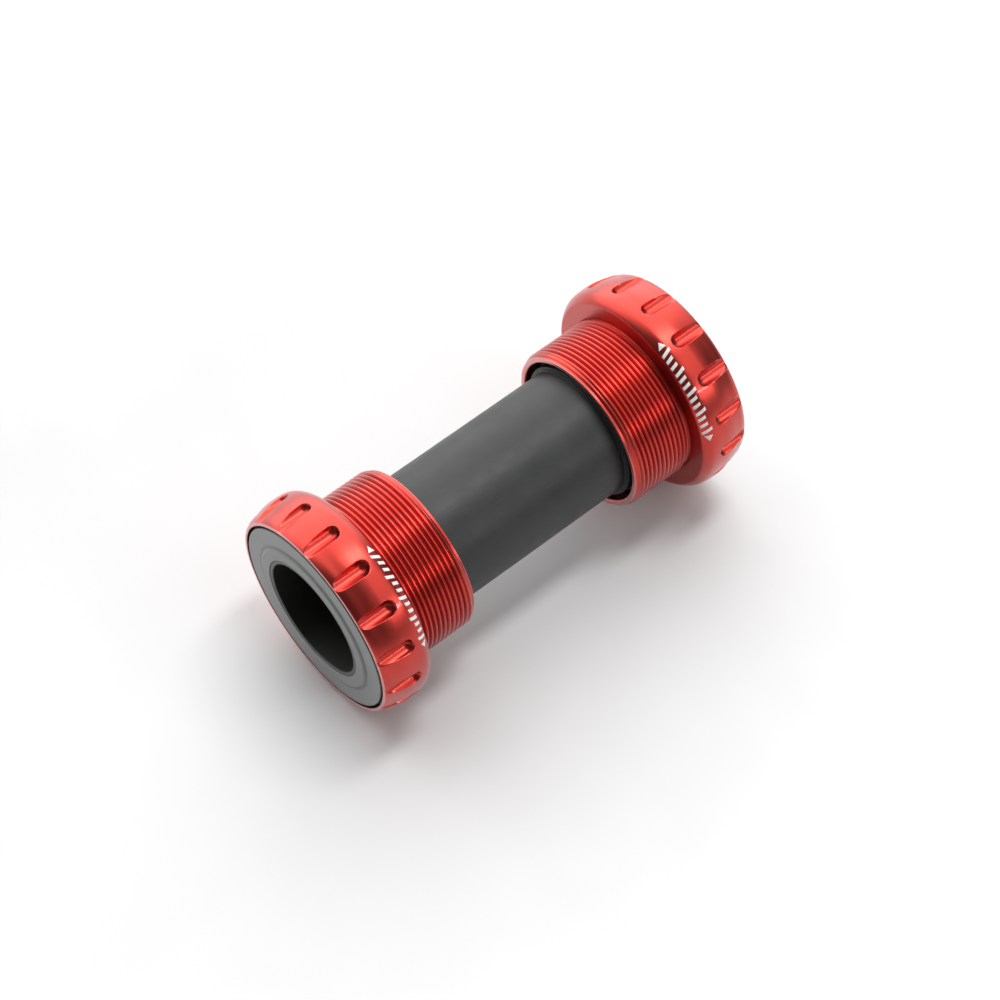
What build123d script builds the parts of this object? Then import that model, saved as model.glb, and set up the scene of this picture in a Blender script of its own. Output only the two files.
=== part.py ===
"""External-cup bottom bracket, BSA 1.370 inch x 24 TPI, for a 24 mm crank spindle.

Millimetres, +Y along the spindle towards the left (non-drive) side, +X forward, +Z up.
The origin is on the spindle axis, midway between the cups.

Each side is drawn once about a local +Z axis whose coordinate t starts at the cup's
outer rim and grows inwards, and is then turned onto the spindle axis.
"""
import math
import os

from build123d import *
from build123d.topology import SkipClean

# ---- driving dimensions -------------------------------------------------------------
SHELL_WIDTH = 68.0            # frame shell, shoulder to shoulder
FLANGE_DEPTH = 10.915         # rim to shoulder
CUP_LENGTH = 24.85            # rim to mouth
SPINDLE_BORE_R = 12.03
THREAD_MAJOR_R = 17.4         # 1.370 inch
THREAD_PITCH = 25.4 / 24
THREAD_DEPTH = 0.62
THREAD_TURNS = 10.5           # whole half turns, so both ends lie on the cup's seams
GROOVE_HALF_ANGLE = math.radians(30)
GROOVE_ROOT_HALF = 0.04

# cup, outside
RIM_OUTER_R = 20.9
RIM_CURVE_R = 21.27            # middle of the rim's rounded edge
RIM_CURVE_T = 0.45
RIM_CURVE_END_R = 21.5
RIM_CURVE_END_T = 1.1
CROWN_R = 22.42                # middle of the crown, its largest part
CROWN_T = 5.2
CROWN_END_R = 22.3
CROWN_END_T = 8.6
BACK_CURVE_R = 21.9            # middle of the rounding down to the shoulder
BACK_CURVE_T = 10.05
SHOULDER_R = 20.8
NOTCH_COUNT = 16
NOTCH_CUTTER_R = 1.55
NOTCH_FLOOR_R = 20.87
NOTCH_END_T = 7.6
NOTCH_PHASE_DEG = {"left": 3.7, "right": 1.6}
RELIEF_R = 16.9
RELIEF_WIDTH = 0.5
RELIEF_MOUTH_R = 17.5          # the flat shoulder starts outside the thread
RELIEF_UNDERCUT = 0.15
RELIEF_CHAMFER = 0.2           # up to the thread
MOUTH_BAND_R = 16.85
MOUTH_BAND_LENGTH = 0.5
MOUTH_TAPER_LENGTH = 0.6

# cup, inside
COVER_POCKET_R = 20.35
COVER_POCKET_DEPTH = 2.0
CUP_BORE_R = 15.75
MOUTH_CHAMFER = 0.25

# bearing 25 x 37 x 7
BEARING_T = 2.4
BEARING_WIDTH = 7.0
BEARING_OUTER_R = 18.5
BEARING_BORE_R = 12.5
OUTER_LAND_R = 16.8
INNER_LAND_R = 14.2
BALL_PITCH_R = 15.5
BALL_R = 1.75
BALL_COUNT = 17
RACE_SECTION_R = 1.86
RING_CHAMFER = 0.3
CAGE_WIDTH = 4.6
CAGE_RUNNING_GAP = 0.35
POCKET_CLEARANCE = 0.12
SEAL_SEAT_R = 17.1
SEAL_SEAT_DEPTH = 0.75
SEAL_THICKNESS = 0.5
SEAL_LIP_GAP = 0.12
SEAL_LIP_BEVEL = 0.5
SEAL_LIP_EDGE = 0.2            # thickness left at the bevelled lip

# turning cover, bush and lip seal
BUSH_LIP_R = 12.9
BUSH_LIP_FACE_T = -0.30
BUSH_LIP_BACK_T = 0.5
BUSH_OVERHANG = 0.2
BUSH_EDGE_FILLET = 0.2
COVER_R = 19.95
COVER_FACE_T = -0.12
COVER_BOSS_FACE_T = -0.42
COVER_BOSS_R = 15.2
COVER_STEP_R = 16.1
COVER_BACK_T = 1.1
COVER_HUB_R = 14.1
COVER_EDGE_FILLET = 0.25
LIP_SEAL_R = 20.2
LIP_TIP_THICKNESS = 0.3
LIP_TIP_DEPTH = 0.68           # back of the lip, behind the cover
LIP_EDGE_BEVEL = 0.05
LIP_LENGTH = 0.6
LIP_ROOT_LENGTH = 1.5
LIP_WEB_THICKNESS = 0.45
LIP_FOOT_DEPTH = 1.1
LIP_FOOT_WIDTH = 1.5
LIP_FOOT_SLOPE = 0.6
JOINT_GAP = 0.02

# centre sleeve
SLEEVE_R = 13.7
SLEEVE_BORE_R = 12.4
COLLAR_R = 14.6
COLLAR_RECESS = 0.37
COLLAR_LENGTH = 3.0
LAND_R = 15.45
LAND_LENGTH = 6.5
ORING_SECTION_R = 0.72
ORING_GROOVE_R = 14.25
ORING_GROOVE_WIDTH = 1.9
ORING_BORE_GAP = 0.05
SLEEVE_ROOT_FILLET = 0.4
SLEEVE_END_CHAMFER = 0.4

# ---- worked out from them -----------------------------------------------------------
HALF_WIDTH = SHELL_WIDTH / 2 + FLANGE_DEPTH
MOUTH_Y = HALF_WIDTH - CUP_LENGTH
BEARING_END_T = BEARING_T + BEARING_WIDTH
BALL_T = BEARING_T + BEARING_WIDTH / 2
THREAD_START_T = FLANGE_DEPTH + RELIEF_WIDTH
THREAD_END_T = CUP_LENGTH - MOUTH_BAND_LENGTH - MOUTH_TAPER_LENGTH
SIDES = {"left": 1, "right": -1}


def revolved(*edges):
    """Solid of revolution about +Z from profile edges in (radius, t)."""
    face = make_face(Curve() + list(edges))
    return revolve(Plane.XZ * face, axis=Axis.Z)


def closed_profile(points):
    """Straight-sided closed outline through (radius, t) points."""
    return Polyline(*points, close=True)


def placed(solid, side):
    """Turn a solid drawn about local +Z onto the spindle axis at one side."""
    sign = SIDES[side]
    return Pos(0, sign * HALF_WIDTH, 0) * Rot(90 * sign, 0, 0) * solid


def save(solid, name):
    """Write one sub-part, keeping its node name as the label."""
    solid.label = name
    export_step(solid, f"parts/{name}.step")


# ---- cup ------------------------------------------------------------------------------
def cup_blank():
    """The turned cup before its notches and thread are cut."""
    rim_end = (RIM_CURVE_END_R, RIM_CURVE_END_T)
    crown_end = (CROWN_END_R, CROWN_END_T)
    shoulder = (SHOULDER_R, FLANGE_DEPTH)
    return revolved(
        ThreePointArc((RIM_OUTER_R, 0), (RIM_CURVE_R, RIM_CURVE_T), rim_end),
        ThreePointArc(rim_end, (CROWN_R, CROWN_T), crown_end),
        ThreePointArc(crown_end, (BACK_CURVE_R, BACK_CURVE_T), shoulder),
        Polyline(
            shoulder,
            (RELIEF_MOUTH_R, FLANGE_DEPTH),
            (RELIEF_R + RELIEF_UNDERCUT, FLANGE_DEPTH - RELIEF_UNDERCUT),
            (RELIEF_R, FLANGE_DEPTH),
            (RELIEF_R, THREAD_START_T - RELIEF_CHAMFER),
            (THREAD_MAJOR_R, THREAD_START_T),
            (THREAD_MAJOR_R, THREAD_END_T),
            (MOUTH_BAND_R, THREAD_END_T + MOUTH_TAPER_LENGTH),
            (MOUTH_BAND_R, CUP_LENGTH),
            (CUP_BORE_R + MOUTH_CHAMFER, CUP_LENGTH),
            (CUP_BORE_R, CUP_LENGTH - MOUTH_CHAMFER),
            (CUP_BORE_R, BEARING_END_T),
            (BEARING_OUTER_R, BEARING_END_T),
            (BEARING_OUTER_R, COVER_POCKET_DEPTH),
            (COVER_POCKET_R, COVER_POCKET_DEPTH),
            (COVER_POCKET_R, 0),
            (RIM_OUTER_R, 0),
        ),
    )


def tool_notches(phase_deg):
    """Cutters for the splined tool's notches: round-nosed slots along the axis."""
    cutter_r = NOTCH_FLOOR_R + NOTCH_CUTTER_R
    nose_t = NOTCH_END_T - NOTCH_CUTTER_R
    slot = Pos(cutter_r, 0, nose_t / 2) * Cylinder(NOTCH_CUTTER_R, nose_t)
    # tilted, so the sphere's poles and seam fall outside the cup's skin
    slot += Pos(cutter_r, 0, nose_t) * Rot(0, 45, 0) * Sphere(NOTCH_CUTTER_R)
    step = 360 / NOTCH_COUNT
    return [Rot(0, 0, phase_deg + i * step) * slot for i in range(NOTCH_COUNT)]


def thread_groove():
    """Right-hand sixty-degree helical groove, its ends inside the barrel's full-size wall."""
    height = THREAD_TURNS * THREAD_PITCH
    start_t = (THREAD_START_T + THREAD_END_T - height) / 2
    helix = Helix(
        pitch=THREAD_PITCH,
        height=height,
        radius=THREAD_MAJOR_R,
        center=(0, 0, start_t),
    )
    cut_through = 0.1
    top_half = GROOVE_ROOT_HALF + (THREAD_DEPTH + cut_through) * math.tan(GROOVE_HALF_ANGLE)
    section = Polygon(
        (cut_through, -top_half),
        (cut_through, top_half),
        (-THREAD_DEPTH, GROOVE_ROOT_HALF),
        (-THREAD_DEPTH, -GROOVE_ROOT_HALF),
        align=None,
    )
    start = Plane(origin=helix @ 0, x_dir=(1, 0, 0), z_dir=helix % 0)
    return sweep(start * section, path=helix, is_frenet=True)


def cup(side):
    """Threaded cup; the right side's is a mirror image, which makes its thread left-hand."""
    body = cup_blank() - tool_notches(NOTCH_PHASE_DEG[side])
    body -= thread_groove()
    # a seam along the barrel keeps each crest face to half a turn
    reach = 3 * CROWN_R
    half_space = Box(reach, reach, reach, align=(Align.CENTER, Align.MIN, Align.CENTER))
    front = body & half_space
    back = body - half_space
    with SkipClean():
        body = front.fuse(back)
    return mirror(body, about=Plane.XZ) if side == "right" else body


# ---- bearing --------------------------------------------------------------------------
def race():
    """Ring of the ball groove's section, cut from both bearing rings."""
    return Pos(0, 0, BALL_T) * Torus(BALL_PITCH_R, RACE_SECTION_R)


def outer_ring():
    """Outer ring with its groove and the seats of the two seals."""
    inner_seat_t = BEARING_END_T - SEAL_SEAT_DEPTH
    blank = closed_profile([
        (SEAL_SEAT_R, BEARING_T),
        (BEARING_OUTER_R - RING_CHAMFER, BEARING_T),
        (BEARING_OUTER_R, BEARING_T + RING_CHAMFER),
        (BEARING_OUTER_R, BEARING_END_T - RING_CHAMFER),
        (BEARING_OUTER_R - RING_CHAMFER, BEARING_END_T),
        (SEAL_SEAT_R, BEARING_END_T),
        (SEAL_SEAT_R, inner_seat_t),
        (OUTER_LAND_R, inner_seat_t),
        (OUTER_LAND_R, BEARING_T + SEAL_SEAT_DEPTH),
        (SEAL_SEAT_R, BEARING_T + SEAL_SEAT_DEPTH),
    ])
    return revolved(blank) - race()


def inner_ring():
    """Inner ring with its groove; the bush is pressed into its bore."""
    blank = closed_profile([
        (BEARING_BORE_R + RING_CHAMFER, BEARING_T),
        (INNER_LAND_R, BEARING_T),
        (INNER_LAND_R, BEARING_END_T),
        (BEARING_BORE_R + RING_CHAMFER, BEARING_END_T),
        (BEARING_BORE_R, BEARING_END_T - RING_CHAMFER),
        (BEARING_BORE_R, BEARING_T + RING_CHAMFER),
    ])
    return revolved(blank) - race()


def around_pitch_circle(solid):
    """Copies of a solid drawn at the origin, one at each ball's centre."""
    step = 360 / BALL_COUNT
    return [Rot(0, 0, i * step) * Pos(BALL_PITCH_R, 0, BALL_T) * solid for i in range(BALL_COUNT)]


def balls():
    """All the balls of one bearing, as separate solids."""
    return Compound(children=around_pitch_circle(Sphere(BALL_R)))


def cage():
    """Ball cage with one round pocket, bored radially, for each ball."""
    low = BALL_T - CAGE_WIDTH / 2
    high = BALL_T + CAGE_WIDTH / 2
    inner = INNER_LAND_R + CAGE_RUNNING_GAP
    outer = OUTER_LAND_R - CAGE_RUNNING_GAP
    blank = revolved(closed_profile([(inner, low), (outer, low), (outer, high), (inner, high)]))
    pocket = Rot(0, 90, 0) * Cylinder(BALL_R + POCKET_CLEARANCE, 4 * BALL_R)
    return blank - around_pitch_circle(pocket)


def bearing_seal(face_t, inward):
    """Flat seal in an outer-ring seat; inward is the way from the bearing's face to its balls."""
    back = face_t + inward * SEAL_SEAT_DEPTH
    front = back - inward * SEAL_THICKNESS
    lip_r = INNER_LAND_R + SEAL_LIP_GAP
    lip_edge = back - inward * SEAL_LIP_EDGE
    return revolved(closed_profile([
        (lip_r, back),
        (SEAL_SEAT_R, back),
        (SEAL_SEAT_R, front),
        (lip_r + SEAL_LIP_BEVEL, front),
        (lip_r, lip_edge),
    ]))


# ---- pieces that turn with the spindle --------------------------------------------------
def spindle_bush():
    """Thin top-hat tube that the spindle slides through."""
    end_t = BEARING_END_T + BUSH_OVERHANG
    blank = revolved(closed_profile([
        (SPINDLE_BORE_R, BUSH_LIP_FACE_T),
        (BUSH_LIP_R, BUSH_LIP_FACE_T),
        (BUSH_LIP_R, BUSH_LIP_BACK_T),
        (BEARING_BORE_R, BUSH_LIP_BACK_T),
        (BEARING_BORE_R, end_t),
        (SPINDLE_BORE_R, end_t),
    ]))
    circles = blank.edges().filter_by(GeomType.CIRCLE)
    mouth_edges = circles.filter_by(lambda edge: abs(edge.radius - SPINDLE_BORE_R) < 0.01)
    return fillet(mouth_edges, BUSH_EDGE_FILLET)


def dust_cover():
    """Outer cover: a raised boss around the bush, a soft step and a flat annulus."""
    step_mid_r = (COVER_BOSS_R + COVER_STEP_R) / 2
    step_mid_t = (COVER_BOSS_FACE_T + COVER_FACE_T) / 2
    boss_in_r = BUSH_LIP_R + JOINT_GAP
    edge_r = COVER_R - COVER_EDGE_FILLET
    edge_mid = COVER_EDGE_FILLET * (1 - math.sqrt(0.5))
    return revolved(
        Line((boss_in_r, COVER_BOSS_FACE_T), (COVER_BOSS_R, COVER_BOSS_FACE_T)),
        Spline(
            (COVER_BOSS_R, COVER_BOSS_FACE_T),
            (step_mid_r, step_mid_t),
            (COVER_STEP_R, COVER_FACE_T),
            tangents=[(1, 0), (1, 0)],
        ),
        Line((COVER_STEP_R, COVER_FACE_T), (edge_r, COVER_FACE_T)),
        ThreePointArc(
            (edge_r, COVER_FACE_T),
            (COVER_R - edge_mid, COVER_FACE_T + edge_mid),
            (COVER_R, COVER_FACE_T + COVER_EDGE_FILLET),
        ),
        Polyline(
            (COVER_R, COVER_FACE_T + COVER_EDGE_FILLET),
            (COVER_R, COVER_BACK_T),
            (COVER_HUB_R, COVER_BACK_T),
            (COVER_HUB_R, BEARING_T),
            (BEARING_BORE_R, BEARING_T),
            (BEARING_BORE_R, BUSH_LIP_BACK_T),
            (boss_in_r, BUSH_LIP_BACK_T),
            (boss_in_r, COVER_BOSS_FACE_T),
        ),
    )


def lip_seal():
    """Rubber seal behind the cover, its rim just clear of the pocket wall and floor."""
    foot_t = COVER_BACK_T + LIP_FOOT_DEPTH
    foot_r = COVER_HUB_R + LIP_FOOT_WIDTH
    web_t = COVER_BACK_T + LIP_WEB_THICKNESS
    return revolved(closed_profile([
        (COVER_HUB_R, COVER_BACK_T),
        (LIP_SEAL_R - LIP_EDGE_BEVEL, COVER_BACK_T),
        (LIP_SEAL_R, COVER_BACK_T + LIP_TIP_THICKNESS),
        (LIP_SEAL_R - LIP_LENGTH, COVER_BACK_T + LIP_TIP_DEPTH),
        (LIP_SEAL_R - LIP_ROOT_LENGTH, web_t),
        (foot_r + LIP_FOOT_SLOPE, web_t),
        (foot_r, foot_t),
        (COVER_HUB_R, foot_t),
    ]))


# ---- centre sleeve ----------------------------------------------------------------------
COLLAR_Y = MOUTH_Y + COLLAR_RECESS
LAND_Y = COLLAR_Y + COLLAR_LENGTH
SLEEVE_END_Y = LAND_Y + LAND_LENGTH
ORING_Y = (LAND_Y + SLEEVE_END_Y) / 2


def centre_sleeve():
    """Tube between the cups, with a stepped collar and an O-ring groove at each end."""
    groove_low = ORING_Y - ORING_GROOVE_WIDTH / 2
    groove_high = ORING_Y + ORING_GROOVE_WIDTH / 2
    half = revolved(closed_profile([
        (SLEEVE_BORE_R, 0),
        (SLEEVE_R, 0),
        (SLEEVE_R, COLLAR_Y - SLEEVE_ROOT_FILLET),
        (SLEEVE_R + SLEEVE_ROOT_FILLET, COLLAR_Y),
        (COLLAR_R, COLLAR_Y),
        (COLLAR_R, LAND_Y),
        (LAND_R, LAND_Y),
        (LAND_R, groove_low),
        (ORING_GROOVE_R, groove_low),
        (ORING_GROOVE_R, groove_high),
        (LAND_R, groove_high),
        (LAND_R, SLEEVE_END_Y - SLEEVE_END_CHAMFER),
        (LAND_R - SLEEVE_END_CHAMFER, SLEEVE_END_Y),
        (SLEEVE_BORE_R, SLEEVE_END_Y),
    ]))
    left_half = Rot(-90, 0, 0) * half
    return left_half + mirror(left_half, about=Plane.XZ)


def sleeve_seal(side):
    """O-ring between the sleeve and the bore of one cup."""
    ring_r = CUP_BORE_R - ORING_BORE_GAP - ORING_SECTION_R
    return Pos(0, SIDES[side] * ORING_Y, 0) * Rot(90, 0, 0) * Torus(ring_r, ORING_SECTION_R)


# ---- build ------------------------------------------------------------------------------
os.makedirs("parts", exist_ok=True)

for side in SIDES:
    save(placed(cup(side), side), f"{side}_cup")
    save(placed(outer_ring(), side), f"{side}_bearing_outer_ring")
    save(placed(inner_ring(), side), f"{side}_bearing_inner_ring")
    save(placed(balls(), side), f"{side}_bearing_balls")
    save(placed(cage(), side), f"{side}_bearing_cage")
    save(placed(bearing_seal(BEARING_T, 1), side), f"{side}_bearing_outer_seal")
    save(placed(bearing_seal(BEARING_END_T, -1), side), f"{side}_bearing_inner_seal")
    save(placed(spindle_bush(), side), f"{side}_spindle_bush")
    save(placed(dust_cover(), side), f"{side}_dust_cover")
    save(placed(lip_seal(), side), f"{side}_lip_seal")
    save(sleeve_seal(side), f"{side}_sleeve_seal")
save(centre_sleeve(), "centre_sleeve")
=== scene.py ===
"""Looks of the external-cup bottom bracket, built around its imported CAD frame.

Metres, in the frame's axes: +Y along the spindle to the left cup, +X forward, +Z up.
Turned pieces are outlines of (radius, t) in millimetres, where t runs inwards from a
cup's rim, revolved about the spindle axis.
"""

import math

import bmesh
import bpy
import numpy as np
from mathutils import Matrix, Vector

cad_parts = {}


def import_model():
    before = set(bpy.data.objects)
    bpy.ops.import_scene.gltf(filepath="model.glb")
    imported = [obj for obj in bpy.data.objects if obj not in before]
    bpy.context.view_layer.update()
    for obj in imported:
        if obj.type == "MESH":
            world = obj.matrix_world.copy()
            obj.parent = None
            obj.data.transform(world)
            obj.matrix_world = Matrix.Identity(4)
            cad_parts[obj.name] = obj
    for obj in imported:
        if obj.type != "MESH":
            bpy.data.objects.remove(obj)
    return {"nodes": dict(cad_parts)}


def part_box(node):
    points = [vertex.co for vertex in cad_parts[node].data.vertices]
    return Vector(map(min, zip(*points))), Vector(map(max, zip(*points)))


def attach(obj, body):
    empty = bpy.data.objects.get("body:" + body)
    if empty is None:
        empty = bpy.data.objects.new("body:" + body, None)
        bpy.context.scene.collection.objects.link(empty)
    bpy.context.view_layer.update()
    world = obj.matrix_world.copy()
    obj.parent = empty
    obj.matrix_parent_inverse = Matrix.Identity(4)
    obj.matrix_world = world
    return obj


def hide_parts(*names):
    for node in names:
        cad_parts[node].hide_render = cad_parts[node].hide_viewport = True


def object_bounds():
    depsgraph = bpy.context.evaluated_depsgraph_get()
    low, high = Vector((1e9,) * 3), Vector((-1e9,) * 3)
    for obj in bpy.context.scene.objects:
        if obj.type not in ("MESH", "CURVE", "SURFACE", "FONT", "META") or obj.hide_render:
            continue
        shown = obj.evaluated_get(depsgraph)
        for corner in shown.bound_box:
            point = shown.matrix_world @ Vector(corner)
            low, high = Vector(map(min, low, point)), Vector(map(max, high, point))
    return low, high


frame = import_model()
cad_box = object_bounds()

MM = 0.001
SIDES = {"left": 1, "right": -1}

# ---- sizes of the CAD pieces that the detailed ones stand for, in mm ----------------------
RIM_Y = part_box("left_cup")[1][1] / MM
CUP_LENGTH = RIM_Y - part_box("left_cup")[0][1] / MM
COVER_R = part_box("left_dust_cover")[1][0] / MM
COVER_FACE = RIM_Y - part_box("left_dust_cover")[1][1] / MM
SLEEVE_END = RIM_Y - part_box("centre_sleeve")[1][1] / MM
LAND_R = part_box("centre_sleeve")[1][0] / MM
SHELL_HALF_WIDTH = 34.0
SHOULDER_T = RIM_Y - SHELL_HALF_WIDTH
THREAD_R = 17.4
PITCH = 25.4 / 24
THREAD_DEPTH = 0.62
RELIEF_R = 16.9
BAND_R = 16.85
POCKET_R = 20.35
POCKET_DEPTH = 2.0
BEARING_R = 18.5
BEARING_END = 9.4
CUP_BORE_R = 15.75
CREST_R = 22.42
NOTCHES = 16
NOTCH_PITCH = 2 * math.pi / NOTCHES
NOTCH_PHASE = {"left": math.radians(3.7), "right": math.radians(1.6)}
NOTCH_R = 1.55
NOTCH_CENTRE_R = 22.42
NOTCH_NOSE = 6.05
NOTCH_EDGE_SOFTNESS = 0.22
MARK_MIDDLE = math.radians(46.5)
MARK_R = 22.0
MARK_LIFT = 0.018
MARK_ROOT = 0.08

SPINDLE_R = 12.03
BUSH_LIP_R = 12.9
BUSH_LIP_FACE = -0.30
BUSH_LIP_BACK = 0.5
BUSH_END = 9.6
BEARING_BORE_R = 12.5
BEARING_FACE = 2.4
HUB_R = 14.1
COVER_BACK = 1.1
BOSS_FACE = COVER_FACE
BOSS_R = 15.15
BOSS_FOOT_R = 15.8
FACE = COVER_FACE + 0.36
COVER_EDGE = COVER_R - 0.12

SLEEVE_BORE_R = 12.4
SLEEVE_R = 13.7
COLLAR_R = 14.6
COLLAR_RECESS = 0.37
COLLAR_LENGTH = 3.0
ORING_GROOVE_R = 14.25
ORING_GROOVE_HALF = 0.95

# ---- mesh density -----------------------------------------------------------------------
ROUND = 242
SMOOTH_ROUND = 322
FLANGE_STEP = 0.2


# ---- outlines ---------------------------------------------------------------------------
def rounded(corners, support=0.06, steps=3):
    """Closed outline through (radius, t, fillet) corners, with arcs and support points."""
    points = []
    count = len(corners)
    for i in range(count):
        here = np.array(corners[i][:2], float)
        back = np.array(corners[i - 1][:2], float) - here
        ahead = np.array(corners[(i + 1) % count][:2], float) - here
        fillet = corners[i][2]
        back_length = np.linalg.norm(back)
        ahead_length = np.linalg.norm(ahead)
        back /= back_length
        ahead /= ahead_length
        if fillet <= 0:
            points.append(here)
            continue
        half = math.acos(np.clip(back @ ahead, -1, 1)) / 2
        reach = fillet / math.tan(half)
        bisector = (back + ahead) / np.linalg.norm(back + ahead)
        centre = here + bisector * fillet / math.sin(half)
        a = here + back * reach - centre
        b = here + ahead * reach - centre
        if back_length > 2 * (reach + support):
            points.append(centre + a + back * support)
        sweep = math.acos(np.clip(a @ b / fillet**2, -1, 1))
        for k in range(steps + 1):
            f = k / steps
            wa = math.sin((1 - f) * sweep) / math.sin(sweep)
            wb = math.sin(f * sweep) / math.sin(sweep)
            points.append(centre + a * wa + b * wb)
        if ahead_length > 2 * (reach + support):
            points.append(centre + b + ahead * support)
    return np.array(points)


def smooth_curve(points, step):
    """Catmull-Rom curve through (radius, t) points, its own points about a step apart."""
    pts = np.array(points, float)
    pts = np.vstack([2 * pts[0] - pts[1], pts, 2 * pts[-1] - pts[-2]])
    out = []
    for p0, p1, p2, p3 in zip(pts, pts[1:], pts[2:], pts[3:]):
        count = max(2, int(round(np.linalg.norm(p2 - p1) / step)))
        for k in range(count):
            u = k / count
            out.append(0.5 * (2 * p1 + (p2 - p0) * u + (2 * p0 - 5 * p1 + 4 * p2 - p3) * u**2
                              + (3 * p1 - p0 - 3 * p2 + p3) * u**3))
    out.append(pts[-2])
    return np.array(out)


# ---- meshes -----------------------------------------------------------------------------
def even_angles(count):
    """Columns all round; a count of 8n + 2 keeps them clear of the falling diagonal."""
    return (np.arange(count) + 0.25) * 2 * math.pi / count


class Skin:
    """Vertices and faces gathered ring by ring round the spindle axis."""

    def __init__(self, side="left"):
        self.sign = SIDES[side]
        self.verts = []
        self.faces = []

    def points(self, radii, ts, angles):
        """Add one vertex per angle and return their numbers."""
        first = len(self.verts)
        radii = np.broadcast_to(radii, angles.shape)
        ts = np.broadcast_to(ts, angles.shape)
        y = self.sign * (RIM_Y - ts)
        xyz = np.stack([radii * np.cos(angles), y, radii * np.sin(angles)], axis=1) * MM
        self.verts.extend(map(tuple, xyz))
        return list(range(first, first + len(angles)))

    def join(self, a, b):
        """Quads between two rings with the same columns."""
        for j in range(len(a)):
            k = (j + 1) % len(a)
            self.faces.append((a[j], a[k], b[k], b[j]))

    def bridge(self, a, a_angles, b, b_angles):
        """Triangles between two rings with different columns, on a flat or gentle face."""
        i = j = 0
        turn = 2 * math.pi
        while i < len(a) or j < len(b):
            next_a = a_angles[i + 1] if i + 1 < len(a) else turn + a_angles[0]
            next_b = b_angles[j + 1] if j + 1 < len(b) else turn + b_angles[0]
            if j >= len(b) or (i < len(a) and next_a <= next_b):
                self.faces.append((a[i], a[(i + 1) % len(a)], b[j % len(b)]))
                i += 1
            else:
                self.faces.append((a[i % len(a)], b[(j + 1) % len(b)], b[j]))
                j += 1

    def build(self, name, body, material, replaced=()):
        """Make the object, face it outwards, hang it on its body and hide the CAD parts it stands
        for.
        """
        mesh = bpy.data.meshes.new(name)
        mesh.from_pydata(self.verts, [], self.faces)
        work = bmesh.new()
        work.from_mesh(mesh)
        bmesh.ops.remove_doubles(work, verts=work.verts, dist=0.001 * MM)
        bmesh.ops.recalc_face_normals(work, faces=work.faces)
        for face in work.faces:
            face.smooth = True
        work.to_mesh(mesh)
        work.free()
        mesh.materials.append(material)
        piece = bpy.data.objects.new(name, mesh)
        bpy.context.scene.collection.objects.link(piece)
        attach(piece, body)
        if replaced:
            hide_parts(*replaced)
        return piece


def lathe(name, outline, side, body, material, replaced, columns=SMOOTH_ROUND):
    """Closed solid of revolution from a closed outline."""
    skin = Skin(side)
    angles = even_angles(columns)
    rings = [skin.points(r, t, angles) for r, t in outline]
    for a, b in zip(rings, rings[1:] + rings[:1]):
        skin.join(a, b)
    return skin.build(name, body, material, replaced)


# ---- cups -------------------------------------------------------------------------------
FLANGE_CURVE = [
    (20.93, 0.05), (21.05, 0.2), (21.24, 0.5), (21.53, 1.2), (21.84, 2.5), (22.2, 4.0),
    (22.4, 5.4), (CREST_R, 6.4), (22.4, 7.4), (22.33, 8.3), (22.14, 9.2), (21.78, 9.9),
    (21.3, 10.5), (20.95, 10.8),
]
NOTCH_STEPS = [
    0, 0.25, 0.5, 0.72, 0.9, 1.05, 1.17, 1.27, 1.35, 1.42, 1.48, 1.53, 1.58, 1.64, 1.73,
    1.88, 2.1, 2.5, 3.1, 3.75,
]


def notch_angles(phase):
    """Columns round a flange, close together at the notches' walls, from one notch on."""
    half = [step / CREST_R for step in NOTCH_STEPS]
    one = [-a for a in half[:0:-1]] + half + [NOTCH_PITCH / 2]
    angles = np.array([phase + i * NOTCH_PITCH + a for i in range(NOTCHES) for a in one])
    return np.sort(angles % (2 * math.pi))


def notched(radius, t, angles, phase):
    """Flange radius at each angle, with the round-nosed notches sunk in softly."""
    off = (angles - phase + NOTCH_PITCH / 2) % NOTCH_PITCH - NOTCH_PITCH / 2
    from_line = np.hypot(off * CREST_R, max(0.0, t - NOTCH_NOSE))
    inside = NOTCH_CENTRE_R - np.sqrt(np.maximum(NOTCH_R**2 - from_line**2, 0))
    cut = inside + 4 * np.maximum(from_line - NOTCH_R, 0)
    soft = NOTCH_EDGE_SOFTNESS
    blend = np.maximum(soft - np.abs(cut - radius), 0) / soft
    return np.minimum(radius, cut) - blend**2 * soft / 4


THREAD_ROWS = [0, 0.08, 0.115, 0.145, 0.29, 0.43, 0.47, 0.5, 0.53, 0.57, 0.71, 0.855, 0.885, 0.92]
THREAD_LOW = SHOULDER_T + 0.3
THREAD_HIGH = CUP_LENGTH - 0.5


def thread_radius(t, angles):
    """Barrel radius at t with its rounded sixty-degree helical groove."""
    turn = (t - THREAD_LOW) / PITCH - angles / (2 * math.pi)
    from_crest = np.abs(turn - np.round(turn))
    depth = np.clip((from_crest - 0.124) / 0.338, 0, 1)
    depth = depth**1.15 * (1.15 - 0.15 * depth)
    fade = np.clip((CUP_LENGTH - 0.75 - t) / 0.9, 0, 1)
    entry = BAND_R + np.clip((THREAD_HIGH - t) / 0.6, 0, 1) * (THREAD_R - BAND_R)
    leave = RELIEF_R + np.clip((t - THREAD_LOW) / 0.25, 0, 1) * (THREAD_R - RELIEF_R)
    return np.minimum(np.minimum(entry, leave), THREAD_R - THREAD_DEPTH * depth * fade)


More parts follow.
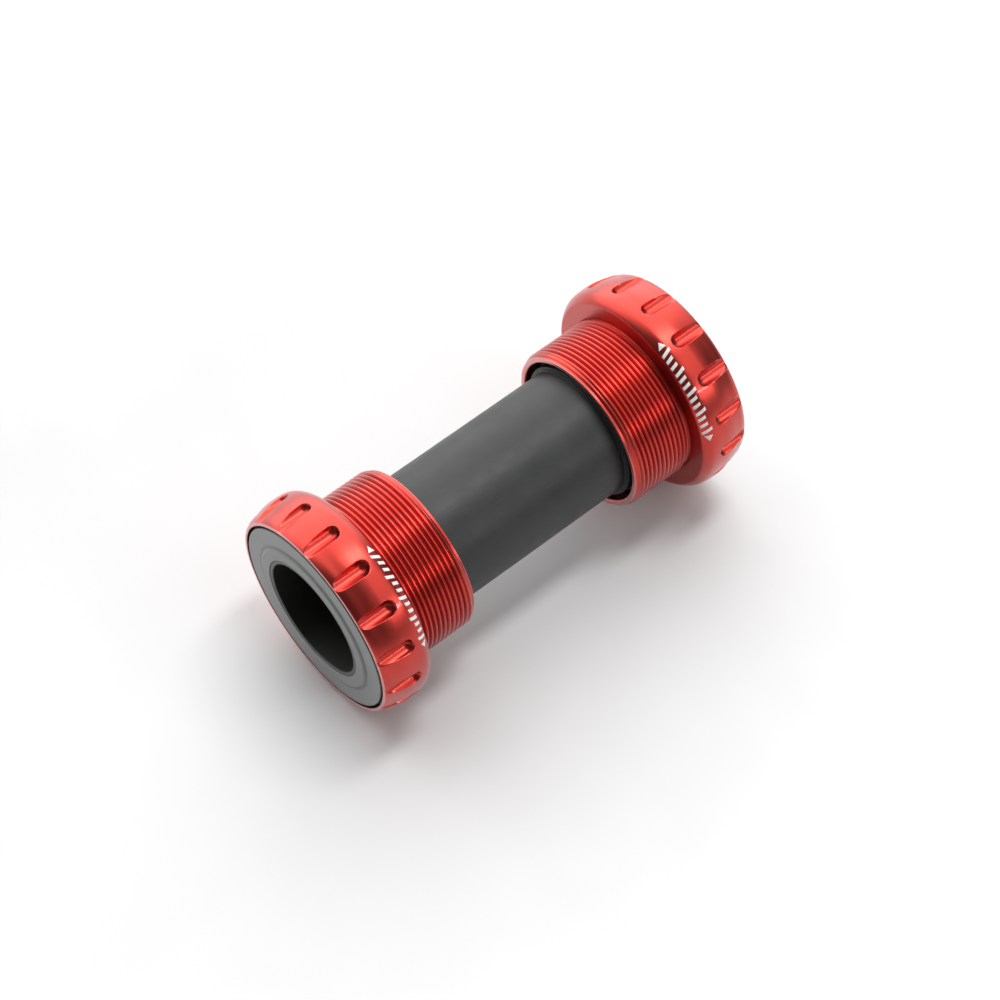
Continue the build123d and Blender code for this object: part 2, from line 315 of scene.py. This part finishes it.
def cup(side, material):
    """One closed skin: flange, relief, thread, mouth, bore, bearing seat, cover pocket."""
    skin = Skin(side)
    phase = NOTCH_PHASE[side]
    around = even_angles(ROUND)
    flange_angles = notch_angles(phase)

    rim = [(20.6, 0), (20.74, 0), (20.84, 0.01)]
    shoulder = [(20.8, SHOULDER_T - 0.02), (20.7, SHOULDER_T), (20.4, SHOULDER_T)]
    rows = [*rim, *map(tuple, smooth_curve(FLANGE_CURVE, FLANGE_STEP)), *shoulder]
    flange = [skin.points(notched(r, t, flange_angles, phase), t, flange_angles) for r, t in rows]
    for a, b in zip(flange, flange[1:]):
        skin.join(a, b)

    relief = [
        (19.8, SHOULDER_T), (17.62, SHOULDER_T), (17.5, SHOULDER_T), (17.42, SHOULDER_T - 0.03),
        (17.1, SHOULDER_T - 0.13), (16.98, SHOULDER_T - 0.13), (16.92, SHOULDER_T - 0.06),
        (RELIEF_R, SHOULDER_T + 0.05), (RELIEF_R, SHOULDER_T + 0.24),
    ]
    rings = [skin.points(r, t, around) for r, t in relief]
    skin.bridge(flange[-1], flange_angles, rings[0], around)
    for a, b in zip(rings, rings[1:]):
        skin.join(a, b)

    # the rows run along the helix, so the last column meets the first one turn further on
    per_turn = len(THREAD_ROWS)
    turns = math.ceil((THREAD_HIGH - THREAD_LOW) / PITCH) + 2
    helix = []
    for row in range(turns * per_turn):
        base = THREAD_LOW + (row // per_turn - 1 + THREAD_ROWS[row % per_turn]) * PITCH
        t = np.clip(base + PITCH * around / (2 * math.pi), THREAD_LOW, THREAD_HIGH)
        helix.append(skin.points(thread_radius(t, around), t, around))
    skin.join(rings[-1], helix[0])
    for row in range(len(helix) - 1):
        a, b = helix[row], helix[row + 1]
        for j in range(ROUND - 1):
            skin.faces.append((a[j], a[j + 1], b[j + 1], b[j]))
        if row + 1 + per_turn < len(helix):
            c, d = helix[row + per_turn], helix[row + 1 + per_turn]
            skin.faces.append((a[-1], c[0], d[0], b[-1]))

    end = CUP_LENGTH
    inside = [
        (BAND_R, end - 0.44), (BAND_R, end - 0.12), (BAND_R - 0.02, end - 0.05),
        (BAND_R - 0.08, end), (BAND_R - 0.2, end), (CUP_BORE_R + 0.35, end),
        (CUP_BORE_R + 0.26, end - 0.01), (CUP_BORE_R + 0.02, end - 0.24),
        (CUP_BORE_R, end - 0.32), (CUP_BORE_R, end - 1.0), (CUP_BORE_R, 14.0),
        (CUP_BORE_R, BEARING_END + 0.2), (CUP_BORE_R, BEARING_END + 0.05),
        (CUP_BORE_R + 0.05, BEARING_END), (CUP_BORE_R + 0.3, BEARING_END),
        (BEARING_R - 0.1, BEARING_END), (BEARING_R, BEARING_END - 0.1),
        (BEARING_R, POCKET_DEPTH + 0.2), (BEARING_R, POCKET_DEPTH + 0.04),
        (BEARING_R + 0.04, POCKET_DEPTH), (BEARING_R + 0.3, POCKET_DEPTH),
        (POCKET_R - 0.1, POCKET_DEPTH), (POCKET_R, POCKET_DEPTH - 0.1), (POCKET_R, 0.4),
        (POCKET_R, 0.1), (POCKET_R + 0.03, 0.03), (POCKET_R + 0.09, 0), (POCKET_R + 0.14, 0),
    ]
    rings = [skin.points(r, t, around) for r, t in inside]
    skin.join(helix[-1], rings[0])
    for a, b in zip(rings, rings[1:]):
        skin.join(a, b)
    skin.bridge(rings[-1], around, flange[0], flange_angles)
    return skin.build(f"{side}_cup_body", f"{side}_cup_assembly", material,
                      [f"{side}_cup"])


def mark(side, material):
    """Plain printed tally of slanted bars round the back of the flange, between two arrows."""
    curve = smooth_curve(FLANGE_CURVE, 0.05)
    low_t, high_t = 8.75, 10.65
    count, spacing, half, slant = 13, 1.5, 0.34, 0.38
    shapes = []
    for i in range(count):
        s = (i - (count - 1) / 2) * spacing
        top = low_t if i % 3 == 0 else low_t + 0.55
        lean = slant * (high_t - top) / (high_t - low_t)
        shapes.append([(s - half - lean, high_t), (s + half - lean, high_t),
                       (s + half + lean, top), (s - half + lean, top)])
    reach = (count + 1) / 2 * spacing
    middle = (low_t + high_t) / 2
    for way in (-1, 1):
        base, tip = way * (reach - 0.35), way * (reach + 1.0)
        shapes.append([(base, high_t - 0.2), (base, high_t - 0.21), (tip, middle),
                       (base, low_t + 0.2)])
    skin = Skin(side)
    along, across = 7, 9
    for a, b, c, d in [np.array(shape) for shape in shapes]:
        layers = []
        for lift in (MARK_LIFT, -MARK_ROOT):
            grid = []
            for i in range(along):
                u = i / (along - 1)
                left, right = a + (d - a) * u, b + (c - b) * u
                line = np.array([left + (right - left) * k / (across - 1) for k in range(across)])
                angles = MARK_MIDDLE + line[:, 0] / MARK_R
                radius = np.interp(line[:, 1], curve[:, 1], curve[:, 0])
                grid.append(skin.points(radius + lift, line[:, 1], angles))
            layers.append(grid)
        top, under = layers
        for grid in layers:
            for p, q in zip(grid, grid[1:]):
                skin.faces.extend((p[k], p[k + 1], q[k + 1], q[k]) for k in range(across - 1))
        for p, q in ((top[0], under[0]), (top[-1], under[-1]),
                     ([row[0] for row in top], [row[0] for row in under]),
                     ([row[-1] for row in top], [row[-1] for row in under])):
            skin.faces.extend((p[k], p[k + 1], q[k + 1], q[k]) for k in range(len(p) - 1))
    return skin.build(f"{side}_printed_mark", f"{side}_cup_assembly", material)


# ---- materials --------------------------------------------------------------------------
class Look:
    """A node material on the Principled shader, in millimetres of the object's own space."""

    def __init__(self, name, **constants):
        self.material = bpy.data.materials.new(name)
        self.material.use_nodes = True
        self.tree = self.material.node_tree
        self.shader = self.tree.nodes["Principled BSDF"]
        for key, value in constants.items():
            self.shader.inputs[key.replace("_", " ")].default_value = value
        place = self.tree.nodes.new("ShaderNodeTexCoord")
        self.mm = self.vector("MULTIPLY", place.outputs["Object"], (1000, 1000, 1000))
        parts = self.tree.nodes.new("ShaderNodeSeparateXYZ")
        self.link(self.mm, parts.inputs[0])
        self.along = parts.outputs["Y"]
        across, up = parts.outputs["X"], parts.outputs["Z"]
        self.radius = self.maths("SQRT", self.maths(
            "ADD", self.maths("MULTIPLY", across, across), self.maths("MULTIPLY", up, up)))

    def link(self, source, target):
        self.tree.links.new(source, target)

    def feed(self, value, socket):
        if hasattr(value, "links"):
            self.link(value, socket)
        else:
            socket.default_value = value

    def maths(self, operation, a, b=None, clamp=False):
        node = self.tree.nodes.new("ShaderNodeMath")
        node.operation = operation
        node.use_clamp = clamp
        self.feed(a, node.inputs[0])
        if b is not None:
            self.feed(b, node.inputs[1])
        return node.outputs[0]

    def vector(self, operation, a, b):
        node = self.tree.nodes.new("ShaderNodeVectorMath")
        node.operation = operation
        self.feed(a, node.inputs[0])
        self.feed(b, node.inputs[1])
        return node.outputs[0]

    def noise(self, scale, detail=2.0, stretch=(1, 1, 1), rough=0.5):
        """Smooth noise about 0.5, with scale features a millimetre."""
        node = self.tree.nodes.new("ShaderNodeTexNoise")
        self.link(self.vector("MULTIPLY", self.mm, stretch), node.inputs["Vector"])
        node.inputs["Scale"].default_value = scale
        node.inputs["Detail"].default_value = detail
        node.inputs["Roughness"].default_value = rough
        return node.outputs["Fac"]

    def rings(self, value, scale, detail=3.0):
        """Noise in one dimension, for the fine lines that a lathe leaves."""
        node = self.tree.nodes.new("ShaderNodeTexNoise")
        node.noise_dimensions = "1D"
        self.link(value, node.inputs["W"])
        node.inputs["Scale"].default_value = scale
        node.inputs["Detail"].default_value = detail
        return node.outputs["Fac"]

    def span(self, value, low, high, to_low=0.0, to_high=1.0):
        """Map low..high to to_low..to_high, held at both ends."""
        node = self.tree.nodes.new("ShaderNodeMapRange")
        self.link(value, node.inputs["Value"])
        for socket, number in zip(("From Min", "From Max", "To Min", "To Max"),
                                  (low, high, to_low, to_high)):
            node.inputs[socket].default_value = number
        return node.outputs["Result"]

    def mix(self, factor, a, b):
        """Colour a to colour b."""
        node = self.tree.nodes.new("ShaderNodeMix")
        node.data_type = "RGBA"
        self.feed(factor, node.inputs["Factor"])
        for colour, socket in ((a, node.inputs[6]), (b, node.inputs[7])):
            self.feed(colour if hasattr(colour, "links") else (*colour, 1), socket)
        return node.outputs[2]

    def edges(self, low=0.53, high=0.62):
        """One on convex edges, zero elsewhere."""
        node = self.tree.nodes.new("ShaderNodeNewGeometry")
        return self.span(node.outputs["Pointiness"], low, high)

    def hollows(self, low=0.47, high=0.40):
        """One in concave corners, zero elsewhere."""
        node = self.tree.nodes.new("ShaderNodeNewGeometry")
        return self.span(node.outputs["Pointiness"], low, high)

    def colour(self, value):
        self.link(value, self.shader.inputs["Base Color"])

    def roughness(self, value):
        self.link(value, self.shader.inputs["Roughness"])

    def bump(self, *layers):
        """Stack (height, distance in mm, strength) bumps."""
        last = None
        for height, distance, strength in layers:
            node = self.tree.nodes.new("ShaderNodeBump")
            node.inputs["Distance"].default_value = distance * MM
            node.inputs["Strength"].default_value = strength
            self.link(height, node.inputs["Height"])
            if last:
                self.link(last, node.inputs["Normal"])
            last = node.outputs["Normal"]
        self.link(last, self.shader.inputs["Normal"])


def red_anodised():
    look = Look("red_anodised_aluminium", Metallic=1.0, Coat_Weight=0.8, Coat_Roughness=0.34,
                Coat_IOR=1.5)
    cloud = look.noise(0.16, 3)
    grain = look.noise(3.2, 2)
    lines = look.rings(look.along, 7.0)
    dye_and_shade = look.mix(look.span(cloud, 0.3, 0.7), (0.47, 0.016, 0.006), (0.55, 0.023, 0.009))
    out = look.maths("ABSOLUTE", look.along)
    threaded = look.maths("MULTIPLY", look.span(out, 20.9, 21.5),
                          look.span(out, SHELL_HALF_WIDTH - 0.1, SHELL_HALF_WIDTH - 0.3))
    roots = look.maths("MULTIPLY", look.span(look.radius, 17.25, 16.85), threaded)
    crown = look.maths("MULTIPLY", look.span(out, RIM_Y - 9.7, RIM_Y - 9.5),
                       look.span(out, RIM_Y - 0.35, RIM_Y - 0.5))
    # painted shade: the notches and the thread roots are darkened, in place of the shade that
    # falls in them
    in_notch = look.maths("MULTIPLY", look.hollows(), crown)
    hollow_shade = look.maths("MAXIMUM", look.maths("MULTIPLY", in_notch, 0.15),
                        look.maths("MULTIPLY", roots, 0.55))
    dye_and_shade = look.mix(hollow_shade, dye_and_shade, (0.20, 0.004, 0.003))
    edge = look.maths("MULTIPLY", look.edges(), look.maths("MAXIMUM", crown, threaded))
    worn = look.maths("MULTIPLY", edge, look.span(look.noise(1.3, 4), 0.36, 0.62, 0.05, 0.4))
    # the lips at the rim and the mouth are painted half way to the pale pink of the worn edges
    rim = look.maths("MULTIPLY", look.span(out, RIM_Y - 0.22, RIM_Y - 0.05),
                     look.span(look.radius, 20.30, 20.36))
    mouth = look.span(out, RIM_Y - CUP_LENGTH + 0.16, RIM_Y - CUP_LENGTH + 0.03)
    lip = look.maths("MULTIPLY", look.maths("MAXIMUM", rim, mouth), 0.5)
    worn = look.maths("MAXIMUM", worn, lip)
    # painted shade: the pocket round the cover is darkened nearly to black, in place of the shade
    # in the gap
    pocket = look.maths("MULTIPLY", look.span(look.radius, POCKET_R + 0.08, POCKET_R + 0.02),
                        look.span(out, RIM_Y - 2.3, RIM_Y - 2.1, 0, 0.85))
    dye_and_shade = look.mix(pocket, look.mix(worn, dye_and_shade, (0.92, 0.50, 0.50)), (0.012, 0.006, 0.005))
    look.colour(dye_and_shade)
    rough = look.maths("ADD", look.span(cloud, 0.3, 0.7, 0.29, 0.34),
                       look.span(grain, 0.3, 0.7, -0.02, 0.02))
    look.roughness(look.maths("ADD", rough, look.maths("MULTIPLY", worn, 0.10)))
    look.bump((grain, 0.006, 0.35), (lines, 0.004, 0.4))
    return look.material


def grey_cover():
    look = Look("grey_satin_cover", Metallic=0.0, IOR=1.5)
    cloud = look.noise(0.22, 3)
    grain = look.noise(6.0, 2)
    lines = look.rings(look.radius, 6.0)
    base = look.mix(look.span(cloud, 0.3, 0.7), (0.205, 0.215, 0.212), (0.245, 0.255, 0.250))
    base = look.mix(look.span(lines, 0.35, 0.65, 0, 0.22), base, (0.17, 0.178, 0.176))
    # painted shade: the corner round the boss, the boss itself and the cover's edge by the gap are
    # darkened, in place of the shade there
    corner = look.maths("MULTIPLY", look.span(look.radius, BOSS_FOOT_R - 0.5, BOSS_FOOT_R - 0.2),
                        look.span(look.radius, BOSS_FOOT_R + 0.6, BOSS_FOOT_R + 0.1))
    rim = look.span(look.radius, COVER_R - 0.36, COVER_R - 0.16)
    boss = look.span(look.radius, BOSS_FOOT_R - 0.1, BOSS_FOOT_R - 0.7, 0, 0.10)
    cover_shade = look.maths("MAXIMUM", look.maths("MULTIPLY", corner, 0.5),
                      look.maths("MULTIPLY", rim, 0.8))
    cover_shade = look.maths("MAXIMUM", cover_shade, boss)
    base = look.mix(cover_shade, base, (0.05, 0.052, 0.05))
    edge = look.maths("MULTIPLY", look.span(look.radius, COVER_R - 0.50, COVER_R - 0.42),
                      look.span(look.radius, COVER_R - 0.30, COVER_R - 0.38))
    worn = look.maths("MULTIPLY", edge, look.span(look.noise(1.6, 4), 0.4, 0.65, 0.05, 0.4))
    look.colour(look.mix(worn, base, (0.42, 0.43, 0.42)))
    look.roughness(look.maths("ADD", look.span(cloud, 0.3, 0.7, 0.36, 0.44),
                              look.span(grain, 0.3, 0.7, -0.03, 0.03)))
    look.bump((grain, 0.010, 0.5), (lines, 0.008, 0.6))
    return look.material


def dark_bush():
    look = Look("charcoal_bush", Metallic=0.0, IOR=1.5)
    grain = look.noise(5.0, 3)
    lines = look.rings(look.along, 4.0)
    base = look.mix(look.span(grain, 0.3, 0.7), (0.030, 0.032, 0.030), (0.045, 0.047, 0.044))
    # painted shade: the bore is darkened, in place of the shade inside it
    bore = look.span(look.radius, SPINDLE_R + 0.19, SPINDLE_R + 0.02)
    base = look.mix(bore, base, (0.020, 0.021, 0.016))
    edge = look.span(look.radius, BUSH_LIP_R - 0.16, BUSH_LIP_R - 0.04)
    worn = look.maths("MULTIPLY", edge, look.span(look.noise(1.5, 4), 0.4, 0.65, 0.2, 0.7))
    look.colour(look.mix(worn, base, (0.16, 0.165, 0.16)))
    look.roughness(look.span(grain, 0.3, 0.7, 0.34, 0.46))
    look.bump((lines, 0.008, 0.5), (grain, 0.008, 0.4))
    return look.material


def sleeve_polymer():
    look = Look("charcoal_moulded_sleeve", Metallic=0.0, IOR=1.45)
    cloud = look.noise(0.12, 4, rough=0.6)
    patches = look.noise(0.35, 4)
    grain = look.noise(4.0, 3)
    base = look.mix(look.span(cloud, 0.3, 0.7), (0.012, 0.013, 0.013), (0.021, 0.023, 0.022))
    base = look.mix(look.span(patches, 0.35, 0.7, 0, 0.35), base, (0.034, 0.036, 0.035))
    scuff = look.noise(2.2, 5, stretch=(1, 0.08, 1))
    marks = look.span(scuff, 0.64, 0.76, 0, 0.15)
    base = look.mix(marks, base, (0.12, 0.122, 0.12))
    out = look.maths("ABSOLUTE", look.along)
    edge = look.maths("MULTIPLY", look.edges(), look.span(out, 19.0, 19.6))
    worn = look.maths("MULTIPLY", edge, look.span(look.noise(1.4, 4), 0.4, 0.65, 0.1, 0.6))
    base = look.mix(worn, base, (0.17, 0.175, 0.17))
    # painted shade: the bore is darkened, in place of the shade inside it
    bore = look.span(look.radius, SLEEVE_BORE_R + 0.2, SLEEVE_BORE_R + 0.05)
    look.colour(look.mix(bore, base, (0.014, 0.014, 0.012)))
    look.roughness(look.maths("ADD", look.span(patches, 0.3, 0.7, 0.42, 0.52),
                              look.maths("MULTIPLY", marks, 0.3)))
    look.bump((grain, 0.02, 0.5), (cloud, 0.25, 0.25))
    return look.material


def rubber():
    look = Look("black_seal_rubber", Metallic=0.0, IOR=1.5)
    grain = look.noise(3.5, 4)
    look.colour(look.mix(look.span(grain, 0.3, 0.7), (0.010, 0.010, 0.010), (0.020, 0.020, 0.019)))
    look.roughness(look.span(grain, 0.3, 0.7, 0.55, 0.72))
    look.bump((grain, 0.02, 0.6))
    return look.material


def ground_steel():
    look = Look("ground_bearing_steel", Metallic=1.0)
    lines = look.rings(look.along, 9.0)
    grain = look.noise(3.0, 4)
    look.colour(look.mix(look.span(grain, 0.3, 0.7), (0.52, 0.52, 0.53), (0.64, 0.64, 0.64)))
    look.roughness(look.maths("ADD", look.span(lines, 0.35, 0.65, 0.14, 0.24),
                              look.span(grain, 0.4, 0.7, 0, 0.05)))
    look.bump((lines, 0.004, 0.5))
    return look.material


def ceramic():
    look = Look("polished_silicon_nitride", Metallic=0.0, IOR=1.95)
    grain = look.noise(2.5, 5)
    look.colour(look.mix(look.span(grain, 0.4, 0.7), (0.030, 0.031, 0.035), (0.060, 0.061, 0.066)))
    look.roughness(look.span(grain, 0.3, 0.7, 0.05, 0.10))
    look.bump((grain, 0.002, 0.3))
    return look.material


def nylon():
    look = Look("moulded_nylon_cage", Metallic=0.0, IOR=1.5, Subsurface_Weight=0.1)
    look.shader.inputs["Subsurface Radius"].default_value = (0.001, 0.0009, 0.0007)
    cloud = look.noise(0.8, 4)
    look.colour(look.mix(look.span(cloud, 0.3, 0.7), (0.62, 0.58, 0.47), (0.72, 0.69, 0.58)))
    look.roughness(look.span(cloud, 0.3, 0.7, 0.38, 0.5))
    look.bump((look.noise(4, 3), 0.015, 0.5))
    return look.material


def white_print():
    look = Look("white_pad_print", Metallic=0.0, IOR=1.5)
    cloud = look.noise(2.4, 4)
    look.colour(look.mix(look.span(cloud, 0.35, 0.75), (0.86, 0.85, 0.83), (0.70, 0.62, 0.60)))
    look.roughness(look.span(cloud, 0.3, 0.7, 0.42, 0.55))
    look.bump((cloud, 0.01, 0.4))
    return look.material


RED = red_anodised()
COVER = grey_cover()
BUSH = dark_bush()
SLEEVE = sleeve_polymer()
RUBBER = rubber()
STEEL = ground_steel()
CERAMIC = ceramic()
NYLON = nylon()
PRINT = white_print()

# ---- pieces -----------------------------------------------------------------------------
COVER_OUTLINE = rounded([
    (BUSH_LIP_R + 0.04, BOSS_FACE, 0.14), (BOSS_R, BOSS_FACE + 0.03, 0.45),
    (BOSS_FOOT_R, FACE + 0.02, 0.35), (BOSS_FOOT_R + 0.5, FACE, 0.25),
    (COVER_EDGE, FACE, 0.25), (COVER_EDGE, COVER_BACK, 0.05), (HUB_R, COVER_BACK, 0.05),
    (HUB_R, BEARING_FACE, 0.05), (BEARING_BORE_R, BEARING_FACE, 0.05),
    (BEARING_BORE_R, BUSH_LIP_BACK, 0.03), (BUSH_LIP_R + 0.02, BUSH_LIP_BACK, 0.03),
], steps=5)
BUSH_OUTLINE = rounded([
    (SPINDLE_R, BUSH_LIP_FACE, 0.2), (BUSH_LIP_R, BUSH_LIP_FACE, 0.14),
    (BUSH_LIP_R, BUSH_LIP_BACK, 0.03), (BEARING_BORE_R, BUSH_LIP_BACK, 0.03),
    (BEARING_BORE_R, BUSH_END, 0.06), (SPINDLE_R, BUSH_END, 0.2),
], steps=5)
LIP_OUTLINE = rounded([
    (HUB_R, COVER_BACK, 0.03), (20.17, COVER_BACK, 0.04), (20.2, 1.4, 0.06), (19.6, 1.78, 0.06),
    (18.7, 1.55, 0.08), (16.2, 1.55, 0.08), (15.6, 2.2, 0.06), (HUB_R, 2.2, 0.05),
])

COLLAR_T = CUP_LENGTH - COLLAR_RECESS
LAND_T = COLLAR_T - COLLAR_LENGTH
GROOVE_MID = (LAND_T + SLEEVE_END) / 2
GROOVE_SIDES = GROOVE_MID - ORING_GROOVE_HALF, GROOVE_MID + ORING_GROOVE_HALF
HALF_SLEEVE = [
    (SLEEVE_BORE_R, SLEEVE_END, 0.15), (LAND_R, SLEEVE_END, 0.4),
    (LAND_R, GROOVE_SIDES[0], 0.08), (ORING_GROOVE_R, GROOVE_SIDES[0], 0.08),
    (ORING_GROOVE_R, GROOVE_SIDES[1], 0.08), (LAND_R, GROOVE_SIDES[1], 0.08),
    (LAND_R, LAND_T, 0.12), (COLLAR_R, LAND_T, 0.1), (COLLAR_R, COLLAR_T, 0.14),
    (SLEEVE_R + 0.02, COLLAR_T, 0.12),
]
OTHER_HALF = [(r, 2 * RIM_Y - t, fillet) for r, t, fillet in HALF_SLEEVE[::-1]]
SLEEVE_OUTLINE = rounded([
    *HALF_SLEEVE, (SLEEVE_R, COLLAR_T + 0.5, 0), (SLEEVE_R, RIM_Y, 0),
    (SLEEVE_R, 2 * RIM_Y - COLLAR_T - 0.5, 0), *OTHER_HALF,
])

for side in SIDES:
    cup(side, RED)
    mark(side, PRINT)
    turning = f"{side}_turning_parts"
    lathe(f"{side}_cover", COVER_OUTLINE, side, turning, COVER,
          [f"{side}_dust_cover"])
    lathe(f"{side}_bush", BUSH_OUTLINE, side, turning, BUSH,
          [f"{side}_spindle_bush"])
    lathe(f"{side}_seal_lip", LIP_OUTLINE, side, turning, RUBBER,
          [f"{side}_lip_seal"])
lathe("sleeve_tube", SLEEVE_OUTLINE, "left", "sleeve", SLEEVE, ["centre_sleeve"])

KEPT = {
    "bearing_outer_ring": STEEL, "bearing_inner_ring": STEEL, "bearing_balls": CERAMIC,
    "bearing_cage": NYLON, "bearing_outer_seal": RUBBER, "bearing_inner_seal": RUBBER,
    "sleeve_seal": RUBBER,
}
for side in SIDES:
    for node, material in KEPT.items():
        for slot in frame["nodes"][f"{side}_{node}"].material_slots:
            slot.material = material

# ---- floor, light and camera ------------------------------------------------------------
FLOOR_Z = cad_box[0][2]
FLOOR_REACH = 3.0
GLOW_FROM = (-0.87, 0.27, 0.42)
GLOW_RANGE = (0.25, 0.95, 0.12, 2.8)
PANEL_DISTANCE = 0.9
PANELS = [
    ("overhead", (0.04, 0.24, 0.97), 0.15, 0.50, 13.5),
    ("front", (0.83, 0.36, 0.42), 0.07, 0.5, 14.0),
    ("between", (0.51, 0.35, 0.78), 0.45, 0.6, 1.4),
]
VIEW_AZIMUTH = math.radians(49.8)
VIEW_ELEVATION = math.radians(56.7)
VIEW_DISTANCE = 0.5157
VIEW_LENS = 97.2
VIEW_SENSOR = 36
AIM = Vector((0.0026, -0.0018, 0.0006))


def floor():
    """Plain pale ground under the lowest point of the part."""
    mesh = bpy.data.meshes.new("floor")
    corners = [(-1, -1), (1, -1), (1, 1), (-1, 1)]
    mesh.from_pydata([(x * FLOOR_REACH, y * FLOOR_REACH, FLOOR_Z) for x, y in corners], [],
                     [(0, 1, 2, 3)])
    plane = bpy.data.objects.new("floor", mesh)
    bpy.context.scene.collection.objects.link(plane)
    look = Look("pale_floor", Metallic=0.0)
    look.colour(look.mix(look.span(look.noise(0.02, 2), 0.3, 0.7), (0.69, 0.69, 0.69),
                         (0.71, 0.71, 0.71)))
    look.roughness(look.span(look.noise(0.1, 2), 0.3, 0.7, 0.55, 0.65))
    mesh.materials.append(look.material)


def panel(name, towards, width, length, strength):
    """Soft rectangular light that faces the origin, its length nearest to the spindle's way."""
    lamp = bpy.data.lights.new(name, "AREA")
    lamp.shape = "RECTANGLE"
    lamp.size = width
    lamp.size_y = length
    lamp.energy = strength * width * length * math.pi
    lamp_object = bpy.data.objects.new(name, lamp)
    place = Vector(towards).normalized() * PANEL_DISTANCE
    lamp_object.location = place
    back = place.normalized()
    side_way = Vector((0, 1, 0)).cross(back).normalized()
    up = back.cross(side_way)
    lamp_object.rotation_euler = Matrix((side_way, up, back)).transposed().to_euler()
    bpy.context.scene.collection.objects.link(lamp_object)


def world():
    """Dim room, with a broad soft glow from the upper rear."""
    room = bpy.data.worlds.new("room")
    bpy.context.scene.world = room
    room.use_nodes = True
    nodes, links = room.node_tree.nodes, room.node_tree.links
    place = nodes.new("ShaderNodeTexCoord")
    dot = nodes.new("ShaderNodeVectorMath")
    dot.operation = "DOT_PRODUCT"
    links.new(place.outputs["Generated"], dot.inputs[0])
    dot.inputs[1].default_value = Vector(GLOW_FROM).normalized()
    ramp = nodes.new("ShaderNodeMapRange")
    ramp.interpolation_type = "SMOOTHSTEP"
    links.new(dot.outputs["Value"], ramp.inputs["Value"])
    for socket, number in zip(("From Min", "From Max", "To Min", "To Max"), GLOW_RANGE):
        ramp.inputs[socket].default_value = number
    background = nodes["Background"]
    background.inputs["Color"].default_value = (1.0, 1.0, 1.0, 1)
    links.new(ramp.outputs["Result"], background.inputs["Strength"])


world()
floor()
for lamp_row in PANELS:
    panel(*lamp_row)

camera_data = bpy.data.cameras.new("camera")
camera_data.lens = VIEW_LENS
camera_data.sensor_width = VIEW_SENSOR
camera_data.clip_start = 0.01
camera = bpy.data.objects.new("camera", camera_data)
away = Vector((math.sin(VIEW_AZIMUTH) * math.cos(VIEW_ELEVATION),
               -math.cos(VIEW_AZIMUTH) * math.cos(VIEW_ELEVATION), math.sin(VIEW_ELEVATION)))
camera.location = AIM + away * VIEW_DISTANCE
camera.rotation_euler = away.to_track_quat("Z", "Y").to_euler()
bpy.context.scene.collection.objects.link(camera)
bpy.context.scene.camera = camera
bpy.context.scene.view_settings.view_transform = "Standard"
